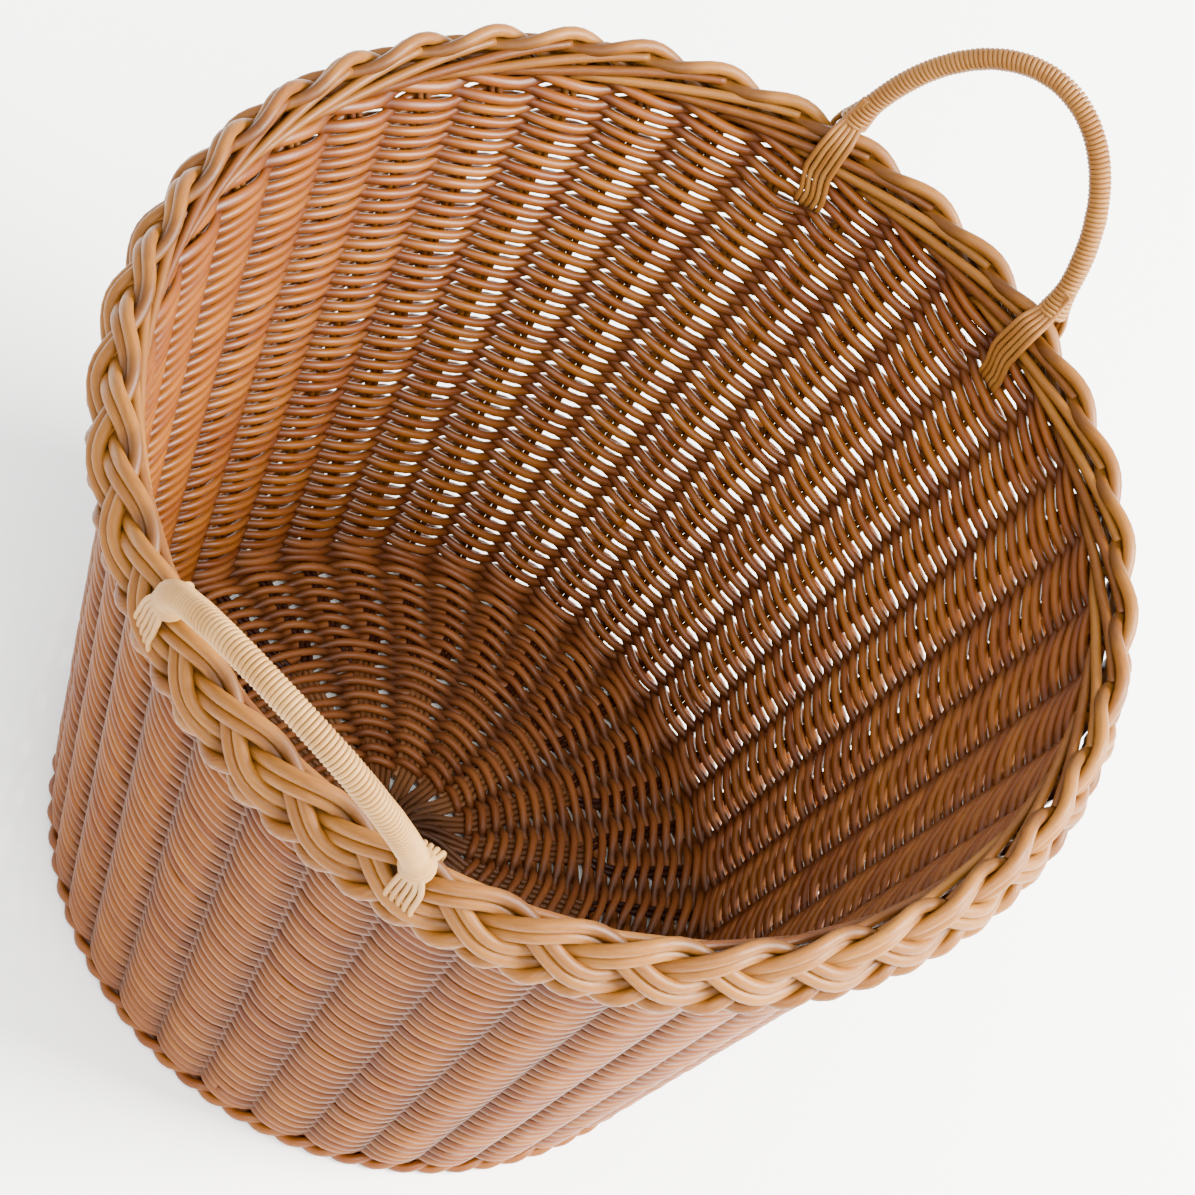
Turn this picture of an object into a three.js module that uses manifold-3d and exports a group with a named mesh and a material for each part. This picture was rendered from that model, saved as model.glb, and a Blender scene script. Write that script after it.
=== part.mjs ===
// A round woven basket with ribbed sides, a plaited border and two wrapped handles, in millimetres.
// +Z is up and the origin is on the floor under the middle of the base. The handles stand on the X axis.
// The stakes are the basket's frame: each lies in the outer base, turns up at the foot, runs up
// inside the wall and ends in the border.

import * as THREE from 'three';
import { mergeVertices } from 'three/addons/utils/BufferGeometryUtils.js';
import Module from 'manifold-3d';

// Driving sizes

const spokeGroups = 19;          // groups of rods in the base, and each splits into two stakes
const rimRadius = 198;           // centre line of the border
const rimHeight = 297.5;
const footRadius = 144;          // middle of the wall where it meets the base
const wallInset = 6.6;           // from the border's centre line to the middle of the wall just under it
const firstStakeTurn = 60;       // degrees from the handles' axis to a stake's top
const stakeLean = 2.4;           // degrees that a stake drifts round the basket over its height
const footLean = 3;              // degrees that it drifts further under the base

const stakeWidth = 6;            // two thin rods side by side
const stakeThickness = 2.7;
const stakeBend = 9;             // from the corner to each end of the turn at the foot
const weaver = 3.4;              // thickness of the strands that the wall and base are woven with
const waleStrand = 4.1;          // the thicker strands of the rows under the border
const waleHeight = 27;           // those rows together
const stakeInBorder = 9;         // how far a stake's end goes up into the border
const stakeSet = 4.8;            // and how far it leans out there

const spokeThickness = 3;        // rods of the base
const groupWidth = 12;           // a group at its outer end
const hubGroupWidth = 6;         // and where it leaves the middle
const hubRadius = 27;            // where the base's weave begins
const outerBase = 44;            // from where the groups split in two to the middle of the wall
const underBase = 0.5;           // air under the base, which hangs in the foot

const footWidth = 20.5;          // the foot wale, from its inside to its outside
const footReach = 11.4;          // from the wall's middle to its inside
const footHeight = 17;
const footFlat = 10;             // the flat that it stands on
const footInset = 4;             // from its inside to that flat
const footRound = 4;             // its rounded outer corner

const borderWidth = 16;
const borderHeight = 22;
const borderRelief = 2.2;        // how far a strand of the plait stands out

const handleHeight = 79;         // from the ends of its legs, along the handle
const legInset = 1;              // from the border's centre line in to the ends of the legs
const legRise = 5.5;             // and up to them
const farSpan = 110;             // between the middles of the legs of the handle at +X
const farTilt = 25.5;            // degrees that it leans outwards
const farTurn = 1.5;             // degrees that it stands off the X axis
const nearSpan = 126;            // the same for the handle at -X, which is wider and squarer
const nearTilt = 27.6;
const nearTurn = 0;
const nearFullness = 2.4;        // 2 is a half ellipse, and more is squarer
const coreDiameter = 5.8;        // the rod bundle inside the wrapping
const legSocket = 4.5;           // how deep a leg goes into the border
const wrapLoops = 24;
const wrapThickness = 1.2;
const wrapAir = 0.75;            // between the core and the wrapping round it
const wrapWidth = 5.5;           // across the strand of the wrapping
const wrapFoot = 18;             // height over the ends of the legs where the wrapping starts

const lashingWidth = 13;         // the flat bundle at each leg
const lashingThickness = 4.2;
const lashingTuck = 36;          // how far below the border's centre line it is tucked in
const lashingOuterEnd = 4;       // how far below it ends outside
const lashingAir = 0.9;          // between the flat bundle and the round border and wall

const openingRows = 4;           // rows of openings up the wall, for the slits between its strands
const openingHeight = 11;
const openingShare = 0.56;       // their width, as a share of the space from stake to stake

const clearance = 0.3;           // between pieces that lie against each other

const ribSamples = 3;            // facets of a rib, of which one is its flat crest

// Sizes that follow

const stakes = 2 * spokeGroups;
const mouthRadius = rimRadius - wallInset;
const splitRadius = footRadius - outerBase;
const stakePitch = 2 * Math.PI / stakes;
const baseMiddle = underBase + weaver + spokeThickness / 2;
const waleTop = rimHeight - borderHeight / 2 - clearance;
const waleBottom = waleTop - waleHeight;
const footInside = footRadius - footReach;
const footOutside = footInside + footWidth;
const baseEdge = footInside * Math.cos(stakePitch / 2) - clearance;  // inside the foot wale's flat facets
const radians = THREE.MathUtils.degToRad;

// Middle of the wall at a height
function wallRadius(z) {
  const s = (z - baseMiddle) / (waleTop - baseMiddle);
  return footRadius + (mouthRadius - footRadius) * s;
}

// Turn of stake number j at a height up the wall
function stakeTurn(j, z) {
  const s = (z - baseMiddle) / (waleTop - baseMiddle);
  return radians(firstStakeTurn) - j * stakePitch + radians(stakeLean) * (1 - s);
}

// The same under the base, at a distance from the middle
function footTurn(j, r) {
  const inward = (footRadius - r) / outerBase;
  return stakeTurn(j, baseMiddle) - radians(footLean) * inward;
}

// Turn of the middle of spoke group g, which splits into stakes 2g and 2g + 1
function groupTurn(g) {
  return (footTurn(2 * g, splitRadius) + footTurn(2 * g + 1, splitRadius)) / 2;
}

// Half the thickness of the weave, which is made of round ribs with narrow valleys: full over a rod
// of the given thickness and one strand in the valley. The phase is whole over a rod.
function weaveHalf(strand, rodThickness, phase) {
  const fromRod = Math.abs(phase - Math.round(phase));
  const over = Math.min(1, (0.5 - fromRod) * ribSamples);
  return strand / 2 + (strand + rodThickness) / 2 * over;
}

function polar(r, turn, z) {
  return new THREE.Vector3(r * Math.cos(turn), r * Math.sin(turn), z);
}

// Mesh building

// Turns a mesh's faces outwards
function facingOut(positions, index) {
  let volume = 0;
  const corner = [new THREE.Vector3(), new THREE.Vector3(), new THREE.Vector3()];
  for (let i = 0; i < index.length; i += 3) {
    corner.forEach((v, k) => v.fromArray(positions, 3 * index[i + k]));
    volume += corner[0].dot(corner[1].cross(corner[2]));
  }
  if (volume < 0) {
    for (let i = 0; i < index.length; i += 3) {
      [index[i], index[i + 1]] = [index[i + 1], index[i]];
    }
  }
  const geometry = new THREE.BufferGeometry();
  geometry.setAttribute('position', new THREE.Float32BufferAttribute(positions, 3));
  geometry.setIndex(index);
  return geometry;
}

// A solid through a row of sections with the same number of points each. A ring joins its last
// section to its first, and any other solid is closed by a flat cap at both ends.
function loft(sections, ring) {
  const points = sections[0].length;
  const positions = sections.flat().flatMap((v) => v.toArray());
  const index = [];
  const spans = ring ? sections.length : sections.length - 1;
  for (let i = 0; i < spans; i++) {
    const here = i * points;
    const next = ((i + 1) % sections.length) * points;
    for (let k = 0; k < points; k++) {
      const m = (k + 1) % points;
      index.push(here + k, next + k, next + m);
      index.push(here + k, next + m, here + m);
    }
  }
  if (!ring) {
    const last = (sections.length - 1) * points;
    for (let k = 1; k < points - 1; k++) {
      index.push(0, k, k + 1);
      index.push(last, last + k + 1, last + k);
    }
  }
  return facingOut(positions, index);
}

// A ring round the Z axis: section(turn) gives the points of the section there
function ring(steps, start, section) {
  const sections = [];
  for (let i = 0; i < steps; i++) {
    sections.push(section(start + i * 2 * Math.PI / steps));
  }
  return loft(sections, true);
}

const wasm = await Module();
wasm.setup();

function solid(geometry) {
  const bare = geometry.clone();
  bare.deleteAttribute('normal');
  bare.deleteAttribute('uv');
  const merged = mergeVertices(bare, 1e-4);
  return new wasm.Manifold(new wasm.Mesh({
    numProp: 3,
    vertProperties: new Float32Array(merged.attributes.position.array),
    triVerts: new Uint32Array(merged.index.array),
  }));
}

// A geometry with every tool cut out of it
function cut(geometry, tools) {
  let body = solid(geometry);
  for (const tool of tools) {
    body = body.subtract(solid(tool));
  }
  const mesh = body.getMesh();
  const result = new THREE.BufferGeometry();
  result.setAttribute('position', new THREE.BufferAttribute(new Float32Array(mesh.vertProperties), 3));
  result.setIndex(new THREE.BufferAttribute(new Uint32Array(mesh.triVerts), 1));
  return result;
}

const basket = new THREE.Group();

function add(name, geometry, material, parent = basket) {
  const faceted = geometry.index ? geometry.toNonIndexed() : geometry;
  faceted.computeVertexNormals();
  const mesh = new THREE.Mesh(faceted, material);
  mesh.name = name;
  parent.add(mesh);
  return mesh;
}

function rattan(colour, roughness) {
  return new THREE.MeshStandardMaterial({ color: colour, roughness, metalness: 0 });
}

const darkRod = rattan(0x7a4a2a, 0.6);
const honeyWeave = rattan(0xb47c48, 0.5);
const footWeave = rattan(0xa06a3c, 0.55);
const plait = rattan(0xc79258, 0.45);
const handleStrand = rattan(0xd3a874, 0.45);

// Stakes

// Middle line of stake j as corners [radius, turn, height]: the flat foot, the turn up, the wall and
// the end in the border
function stakeLine(j) {
  const rise = new THREE.Vector2(wallRadius(footHeight) - footRadius, footHeight - baseMiddle).normalize();
  const turnUp = new THREE.QuadraticBezierCurve(
    new THREE.Vector2(footRadius - stakeBend, baseMiddle),
    new THREE.Vector2(footRadius, baseMiddle),
    new THREE.Vector2(footRadius + stakeBend * rise.x, baseMiddle + stakeBend * rise.y),
  );
  const line = [[splitRadius + clearance, footTurn(j, splitRadius), baseMiddle]];
  for (const p of turnUp.getPoints(1)) {
    line.push([p.x, stakeTurn(j, p.y), p.y]);
  }
  line[1][1] = footTurn(j, footRadius - stakeBend);
  line.push([wallRadius(waleTop), stakeTurn(j, waleTop), waleTop]);
  const end = waleTop + clearance + stakeInBorder;
  line.push([wallRadius(waleTop) + stakeSet, stakeTurn(j, waleTop), end]);
  return line;
}

// A flat bar along stake j, grown all round by an allowance, which also lengthens its ends. Its sections
// lie square to the base up to the turn and square to the wall from there, so that its faces are flat.
function stakeBar(j, allowance) {
  const line = stakeLine(j);
  const facing = stakeTurn(j, rimHeight / 2);
  const flat = line.map(([r, , z]) => new THREE.Vector2(r, z));
  const ends = flat.map((p) => p.clone());
  const count = line.length;
  const stretch = (a, b) => a.clone().sub(b).setLength(allowance);
  ends[0].add(stretch(flat[0], flat[1]));
  ends[count - 1].add(stretch(flat[count - 1], flat[count - 2]));
  const sections = line.map(([, turn], i) => {
    const run = i < 2 ? 0 : 2;
    const along = flat[run + 1].clone().sub(flat[run]).normalize();
    const around = new THREE.Vector3(-Math.sin(facing), Math.cos(facing), 0);
    const across = new THREE.Vector3(Math.cos(facing) * along.y, Math.sin(facing) * along.y, -along.x);
    const middle = polar(ends[i].x, turn, ends[i].y);
    const w = stakeWidth / 2 + allowance;
    const t = stakeThickness / 2 + allowance;
    return [[w, t], [-w, t], [-w, -t], [w, -t]].map(([a, c]) => (
      middle.clone().addScaledVector(around, a).addScaledVector(across, c)
    ));
  });
  return loft(sections, false);
}

const stakeHoles = [];
for (let j = 0; j < stakes; j++) {
  const name = `stake_${String(j + 1).padStart(2, '0')}`;
  add(name, stakeBar(j, 0), darkRod);
  stakeHoles.push(stakeBar(j, clearance));
}

// Base

// The spoke groups, joined where they cross in the middle
function spokeStar(allowance) {
  const inner = hubRadius - allowance;
  const outline = new THREE.Shape();
  const corner = (r, turn, side) => new THREE.Vector2(
    r * Math.cos(turn) - side * Math.sin(turn),
    r * Math.sin(turn) + side * Math.cos(turn),
  );
  const points = [];
  for (let g = spokeGroups - 1; g >= 0; g--) {
    const turn = groupTurn(g);
    points.push(corner(inner, turn, -hubGroupWidth / 2 - allowance));
    points.push(corner(splitRadius + allowance, turn, -groupWidth / 2 - allowance));
    points.push(corner(splitRadius + allowance, turn, groupWidth / 2 + allowance));
    points.push(corner(inner, turn, hubGroupWidth / 2 + allowance));
  }
  outline.setFromPoints(points);
  const star = new THREE.ExtrudeGeometry(outline, {
    depth: spokeThickness + 2 * allowance,
    bevelEnabled: false,
  });
  star.translate(0, 0, baseMiddle - spokeThickness / 2 - allowance);
  return star;
}

// A flat ring of weave between two radii, ribbed over a number of rods. rodTurn(r) is the turn of
// the first rod at a radius.
function weaveRing(inside, outside, rods, rodThickness, rodTurn) {
  const pitch = 2 * Math.PI / rods;
  return ring(ribSamples * rods, pitch / ribSamples / 2, (turn) => {
    const half = weaveHalf(weaver, rodThickness, turn / pitch);
    const a = rodTurn(inside) + turn;
    const b = rodTurn(outside) + turn;
    return [
      polar(inside, a, baseMiddle - half),
      polar(outside, b, baseMiddle - half),
      polar(outside, b, baseMiddle + half),
      polar(inside, a, baseMiddle + half),
    ];
  });
}

add('base_spokes', spokeStar(0), darkRod);

const innerWeave = weaveRing(
  hubRadius + clearance, splitRadius, spokeGroups, spokeThickness, () => groupTurn(0),
);
add('base_weave_inner', cut(innerWeave, [spokeStar(clearance)]), honeyWeave);

const outerWeave = weaveRing(
  splitRadius + clearance, baseEdge, stakes, stakeThickness, (r) => footTurn(0, r),
);
add('base_weave_outer', cut(outerWeave, stakeHoles), honeyWeave);

// Foot wale, a thick ring round the turn of every stake

function footSection(turn) {
  const crest = weaver + stakeThickness / 2;
  const top = wallRadius(footHeight);
  return [
    polar(footInside, turn, underBase + clearance),
    polar(footInside + footInset, turn, 0),
    polar(footInside + footInset + footFlat, turn, 0),
    polar(footOutside, turn, footRound),
    polar(top + crest, turn, footHeight),
    polar(top - crest, turn, footHeight),
    polar(footInside, turn, baseMiddle + crest),
  ];
}

const footRing = ring(stakes, footTurn(0, footInside) + stakePitch / 2, footSection);
add('foot_wale', cut(footRing, stakeHoles), footWeave);

// Wall

// A band of the wall between two heights, ribbed over every stake and leaning with them
function wallBand(bottom, top, strand) {
  return ring(ribSamples * stakes, stakePitch / ribSamples / 2, (turn) => {
    const half = weaveHalf(strand, stakeThickness, turn / stakePitch);
    const below = stakeTurn(0, bottom) + turn;
    const above = stakeTurn(0, top) + turn;
    return [
      polar(wallRadius(bottom) + half, below, bottom),
      polar(wallRadius(top) + half, above, top),
      polar(wallRadius(top) - half, above, top),
      polar(wallRadius(bottom) - half, below, bottom),
    ];
  });
}

// A plain grid of openings through the wall, one beside each other stake, for the many small slits of
// the real weave
function wallOpenings(bottom, top) {
  const tools = [];
  for (let row = 0; row < openingRows; row++) {
    const z = bottom + (top - bottom) * (row + 0.5) / openingRows;
    const wide = openingShare * stakePitch * wallRadius(z);
    const deep = 4 * (weaver + stakeThickness);
    for (let g = 0; g < spokeGroups; g++) {
      const opening = new THREE.BoxGeometry(deep, wide, openingHeight);
      opening.translate(wallRadius(z), 0, z);
      opening.rotateZ(stakeTurn(2 * g, z) - stakePitch / 2);
      tools.push(opening);
    }
  }
  return tools;
}

const wallBottom = footHeight + clearance;
const weaveTop = waleBottom - clearance;
const wallCuts = stakeHoles.concat(wallOpenings(wallBottom, weaveTop));
add('wall_weave', cut(wallBand(wallBottom, weaveTop, weaver), wallCuts), honeyWeave);
add('top_wale', cut(wallBand(waleBottom, waleTop, waleStrand), stakeHoles), footWeave);

// Handles. A handle's own frame has its origin midway between the ends of the legs, Y from leg to leg
// and Z up along the leaning handle.

const legRadius = rimRadius - legInset;
const handles = {
  a: { span: farSpan, tilt: farTilt, turn: farTurn, fullness: 2 },
  b: { span: nearSpan, tilt: nearTilt, turn: 180 + nearTurn, fullness: nearFullness },
};

class HandleArch extends THREE.Curve {
  // A half ellipse, or a squarer arch, from one leg to the other, cut off at a height over their ends
  constructor(handle, height) {
    super();
    this.span = handle.span;
    this.power = 2 / handle.fullness;
    this.cut = Math.asin((height / handleHeight) ** (1 / this.power));
  }

  getPoint(t, target = new THREE.Vector3()) {
    const angle = this.cut + (Math.PI - 2 * this.cut) * t;
    const across = Math.cos(angle);
    const wide = Math.sign(across) * Math.abs(across) ** this.power;
    return target.set(0, -this.span / 2 * wide, handleHeight * Math.sin(angle) ** this.power);
  }
}

function circle(radius, sides) {
  const shape = new THREE.Shape();
  const points = [];
  for (let k = 0; k < sides; k++) {
    const angle = 2 * Math.PI * k / sides;
    points.push(new THREE.Vector2(radius * Math.cos(angle), radius * Math.sin(angle)));
  }
  shape.setFromPoints(points);
  return shape;
}

function tube(curve, radius) {
  const sides = 8;
  const steps = 19;
  return new THREE.ExtrudeGeometry(circle(radius, sides), { steps, extrudePath: curve });
}

// Turns from a handle's frame to the basket's
function handleFrame(handle) {
  const lean = new THREE.Matrix4().makeRotationY(radians(handle.tilt));
  const out = Math.sqrt(legRadius ** 2 - (handle.span / 2) ** 2);
  const place = new THREE.Matrix4().makeTranslation(out, 0, rimHeight + legRise);
  const turn = new THREE.Matrix4().makeRotationZ(radians(handle.turn));
  return turn.multiply(place).multiply(lean);
}

const legHeight = borderHeight / 2 - legRise - legSocket;

function coreTube(handle) {
  return tube(new HandleArch(handle, legHeight), coreDiameter / 2);
}

// The space that a core takes up in other pieces, in the basket's frame
function coreHole(handle) {
  const hole = tube(new HandleArch(handle, legHeight - clearance), coreDiameter / 2 + clearance);
  return hole.applyMatrix4(handleFrame(handle));
}

// Border: a plait of one chevron for each stake, with pockets for the stakes and the handle legs

const borderSides = 8;           // with a flat one at the top, the bottom, outside and inside
const toCorner = 1 / Math.cos(Math.PI / borderSides);

function borderSection(turn) {
  const section = [];
  for (let k = 0; k < borderSides; k++) {
    const angle = 2 * Math.PI * (k + 0.5) / borderSides;
    // A strand's ridge runs from the outer and the inner edge to the crest, and the two meet there
    const slant = Math.abs(k + 0.5 - borderSides / 4) / 2 + 0.25;
    const phase = (turn - stakeTurn(0, waleTop)) / stakePitch - slant;
    const stand = phase - Math.floor(phase) < 0.5 ? 0 : -borderRelief;
    const under = Math.sin(angle) < 0;
    const out = (borderWidth / 2 + (under ? 0 : stand)) * toCorner * Math.cos(angle);
    const up = (borderHeight / 2 + (under ? 0 : stand)) * toCorner * Math.sin(angle);
    section.push(polar(rimRadius + out, turn, rimHeight + up));
  }
  return section;
}

const legHoles = Object.values(handles).map(coreHole);
const borderRing = ring(2 * stakes, stakeTurn(0, waleTop) + stakePitch / 4, borderSection);
add('border_braid', cut(borderRing, stakeHoles.concat(legHoles)), plait);

// Handle wrapping: one flat strand wound round the core

// Corners of the strand's section at t from 0 to 1 along the wrapping
function wrapSection(arch, t) {
  const centre = arch.getPointAt(t);
  const along = arch.getTangentAt(t);
  const side = new THREE.Vector3(1, 0, 0);
  const across = new THREE.Vector3().crossVectors(along, side);
  const angle = 2 * Math.PI * wrapLoops * t;
  const outwards = side.clone().multiplyScalar(Math.cos(angle)).addScaledVector(across, Math.sin(angle));
  const inner = coreDiameter / 2 + wrapAir;
  const middle = inner + wrapThickness / 2;
  const round = new THREE.Vector3().crossVectors(outwards, along);
  const climb = arch.getLength() / wrapLoops;
  const strand = round.multiplyScalar(-2 * Math.PI * middle).addScaledVector(along, climb).normalize();
  const wide = new THREE.Vector3().crossVectors(strand, outwards).normalize();
  const w = wrapWidth / 2;
  return [[inner, w], [inner, -w], [inner + wrapThickness, -w], [inner + wrapThickness, w]].map(
    ([r, a]) => centre.clone().addScaledVector(outwards, r).addScaledVector(wide, a),
  );
}

// Least distance between the edges of loops that lie next to each other
function leastWrapGap(arch) {
  const perLoop = 36;
  const samples = perLoop * wrapLoops;
  const sections = [];
  for (let i = 0; i <= samples; i++) {
    sections.push(wrapSection(arch, i / samples));
  }
  let least = Infinity;
  for (let i = 0; i < samples; i++) {
    const last = Math.min(i + 4 / 3 * perLoop, samples);
    for (let m = i + 2 / 3 * perLoop; m <= last; m++) {
      for (const p of sections[i]) {
        for (const q of sections[m]) {
          least = Math.min(least, p.distanceTo(q));
        }
      }
    }
  }
  return least;
}

const stepsPerLoop = 7;
let leastGap = Infinity;

function wrapping(handle) {
  const arch = new HandleArch(handle, wrapFoot);
  arch.arcLengthDivisions = 800;
  leastGap = Math.min(leastGap, leastWrapGap(arch));
  const steps = stepsPerLoop * wrapLoops;
  const sections = [];
  for (let i = 0; i <= steps; i++) {
    sections.push(wrapSection(arch, i / steps));
  }
  return loft(sections, false);
}

// Leg lashings: a flat bundle over the border at each leg, tucked in behind it

function lashingProfile() {
  const crest = waleStrand + stakeThickness / 2;
  const wallFace = (z) => wallRadius(z) - crest - lashingAir - rimRadius;
  const a = borderWidth / 2 * toCorner + lashingAir;
  const b = borderHeight / 2 * toCorner + lashingAir;
  const under = [new THREE.Vector2(wallFace(rimHeight - lashingTuck), -lashingTuck)];
  under.push(new THREE.Vector2(wallFace(waleTop), waleTop - rimHeight));
  const arc = 6;
  for (let i = 0; i <= arc; i++) {
    const angle = Math.PI * (1 - i / arc);
    under.push(new THREE.Vector2(a * Math.cos(angle), b * Math.sin(angle)));
  }
  under.push(new THREE.Vector2(a, -lashingOuterEnd));
  const over = under.map((p, i) => {
    const before = under[Math.max(i - 1, 0)];
    const after = under[Math.min(i + 1, under.length - 1)];
    const along = after.clone().sub(before).normalize();
    return p.clone().add(new THREE.Vector2(-along.y, along.x).multiplyScalar(lashingThickness));
  });
  const profile = new THREE.Shape();
  profile.setFromPoints(under.concat(over.reverse()));
  return profile;
}

// The lashing at one leg of a handle, in the basket's frame
function lashing(handle, end) {
  const strap = new THREE.ExtrudeGeometry(lashingProfile(), { depth: lashingWidth, bevelEnabled: false });
  strap.translate(0, 0, -lashingWidth / 2);
  strap.rotateX(Math.PI / 2);
  strap.translate(rimRadius, 0, rimHeight);
  strap.rotateZ(radians(handle.turn) + end * Math.asin(handle.span / 2 / legRadius));
  return cut(strap, [coreHole(handle)]);
}

for (const [letter, handle] of Object.entries(handles)) {
  const frame = new THREE.Group();
  frame.applyMatrix4(handleFrame(handle));
  basket.add(frame);
  add(`handle_${letter}_core`, coreTube(handle), handleStrand, frame);
  add(`handle_${letter}_wrap`, wrapping(handle), handleStrand, frame);
  add(`handle_${letter}_lashing_left`, lashing(handle, 1), handleStrand);
  add(`handle_${letter}_lashing_right`, lashing(handle, -1), handleStrand);
}
console.log('handle wrapping, least gap between loops in mm:', leastGap.toFixed(2));

export default basket;
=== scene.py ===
"""A round woven basket with a plaited border and two wrapped handles, built strand by strand.

Lengths are in millimetres here and go into the meshes in metres. The frame is the part's own: +Z up, the
floor at zero and the handles on the X axis.
"""

import math

import bpy
import numpy as np
from mathutils import Matrix, Vector


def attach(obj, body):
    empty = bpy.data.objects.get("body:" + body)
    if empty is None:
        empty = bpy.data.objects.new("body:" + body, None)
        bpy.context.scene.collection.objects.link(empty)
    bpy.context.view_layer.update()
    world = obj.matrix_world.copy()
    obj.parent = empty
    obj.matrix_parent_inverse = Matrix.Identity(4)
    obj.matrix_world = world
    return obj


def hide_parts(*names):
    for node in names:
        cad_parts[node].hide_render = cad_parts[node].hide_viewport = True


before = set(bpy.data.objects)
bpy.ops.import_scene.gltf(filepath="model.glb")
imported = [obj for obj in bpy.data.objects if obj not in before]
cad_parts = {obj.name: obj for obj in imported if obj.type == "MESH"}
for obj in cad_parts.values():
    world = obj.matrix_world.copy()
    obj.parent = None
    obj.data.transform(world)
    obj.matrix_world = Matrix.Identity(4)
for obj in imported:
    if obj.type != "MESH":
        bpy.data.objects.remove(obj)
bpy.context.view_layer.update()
MM = 0.001


# Sizes shared with the part's solids

GROUPS = 19                      # groups of base rods, and each splits into two stakes
STAKES = 2 * GROUPS
PITCH = 2 * math.pi / STAKES     # turn from one stake to the next
RIM_RADIUS = 198.0               # the border's centre line
RIM_HEIGHT = 297.5
FOOT_RADIUS = 144.0              # the wall's middle at the base
MOUTH_RADIUS = 191.4             # and at the top of the wale, under the border
BASE_MIDDLE = 5.4                # height of the base's middle
WALE_TOP = 286.2
WALE_BOTTOM = 259.2
FIRST_STAKE_TURN = math.radians(60)
STAKE_LEAN = math.radians(2.4)   # how far a stake turns from the mouth to the base
FOOT_LEAN = math.radians(3)      # and on from the foot to where the groups split
SPLIT_RADIUS = 100.0
STAKE_BEND = 9.0                 # length of the foot's bend to each side of its corner
FOOT_HEIGHT = 17.0               # a height on the straight wall, above the bend
LEG_RADIUS = 197.0               # the ends of the handles' legs
LEG_BOTTOM = 303.0
HANDLE_HEIGHT = 79.0
HANDLES = {
    "a": {"span": 110.0, "tilt": math.radians(25.5), "turn": math.radians(1.5), "fullness": 2.0},
    "b": {"span": 126.0, "tilt": math.radians(27.6), "turn": math.pi, "fullness": 2.4},
}

# The basket in the photograph is a little narrower across than from handle to handle, and its wall hangs a
# little to one side of its border

WALL_NARROWING = 0.02
BORDER_NARROWING = 0.01
SIDEWAYS = -3.0
HANGS_FROM = 280.0               # the height where the wall passes into the border, and over how much
HANGS_OVER = 14.0

# Sizes of the strands

ROD = 2.7                        # thickness of the base's thin rods
STAKE_ROD = 2.95                 # and of the stakes'
WEAVER = 3.9
BASE_WEAVER = 3.6
BASE_PACKING = 0.6               # how far the base's weavers press into its rods
BASE_SWELL = 0.5                 # share by which they are thicker under the rods
FULLER = 0.1                     # share by which the wall's weavers grow thicker on their way up
FULLER_FROM = 150.0              # the height where that begins, and over how much
FULLER_OVER = 90.0
WALE_STRAND = 4.2
PLAIT_ROD = 5.3
WRAP_STRAND = 2.0
LASHING_STRAND = 2.4

# From row to row

BASE_ROW = 6.35
FOOT_ROW = 6.1
ROW = 7.15
WALE_ROW = 6.95


def smooth(x):
    """A smooth step from 0, where x is 0 or less, to 1, where it is 1 or more."""
    x = np.clip(x, 0, 1)
    return x * x * (3 - 2 * x)


def lengths(line):
    """Distance along a line at each of its points."""
    return np.concatenate([[0], np.cumsum(np.linalg.norm(np.diff(line, axis=0), axis=1))])


def around(radius, theta, height):
    """Points from a distance to the Z axis, a turn about it and a height."""
    return np.stack([radius * np.cos(theta), radius * np.sin(theta), height + 0 * theta], axis=1)


def outward_and_round(theta):
    """Unit vectors at one turn: away from the Z axis, and round it."""
    return np.array([math.cos(theta), math.sin(theta), 0]), np.array([-math.sin(theta), math.cos(theta), 0])


def wall_radius(z):
    return FOOT_RADIUS + (MOUTH_RADIUS - FOOT_RADIUS) * (z - BASE_MIDDLE) / (WALE_TOP - BASE_MIDDLE)


def stake_turn(z):
    """Turn of the first stake at a height."""
    return FIRST_STAKE_TURN + STAKE_LEAN * (1 - (z - BASE_MIDDLE) / (WALE_TOP - BASE_MIDDLE))


def foot_turn(r):
    """Turn of the first stake in the base, at a distance from the middle."""
    return stake_turn(BASE_MIDDLE) - FOOT_LEAN * (FOOT_RADIUS - r) / (FOOT_RADIUS - SPLIT_RADIUS)


GROUP_TURN = foot_turn(SPLIT_RADIUS) - PITCH / 2


def settled(points):
    """Points of the round basket as they lie in the slightly uneven one."""
    border = smooth((points[:, 2] - HANGS_FROM) / HANGS_OVER)
    narrowing = WALL_NARROWING + (BORDER_NARROWING - WALL_NARROWING) * border
    moved = points.copy()
    moved[:, 1] = points[:, 1] * (1 - narrowing) + SIDEWAYS * (1 - border)
    return moved


# The stakes' profile: flat through the base, up round the foot and up the wall. A place on it is given by the
# distance along it from the middle of the base.

PROFILE_TOP = RIM_HEIGHT + 12    # past the stakes' ends
PROFILE_STEPS = 40               # in the bend, and in the wall
PROFILE_FIRST = 0.02             # the wall's first step, as a share of it
BEND_TOP = FOOT_HEIGHT - 3       # the bend ends about here, and the wall above it is straight
SLOPE_OVER = 1.5                 # a slope is measured from this far before a place to this far after it


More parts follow.
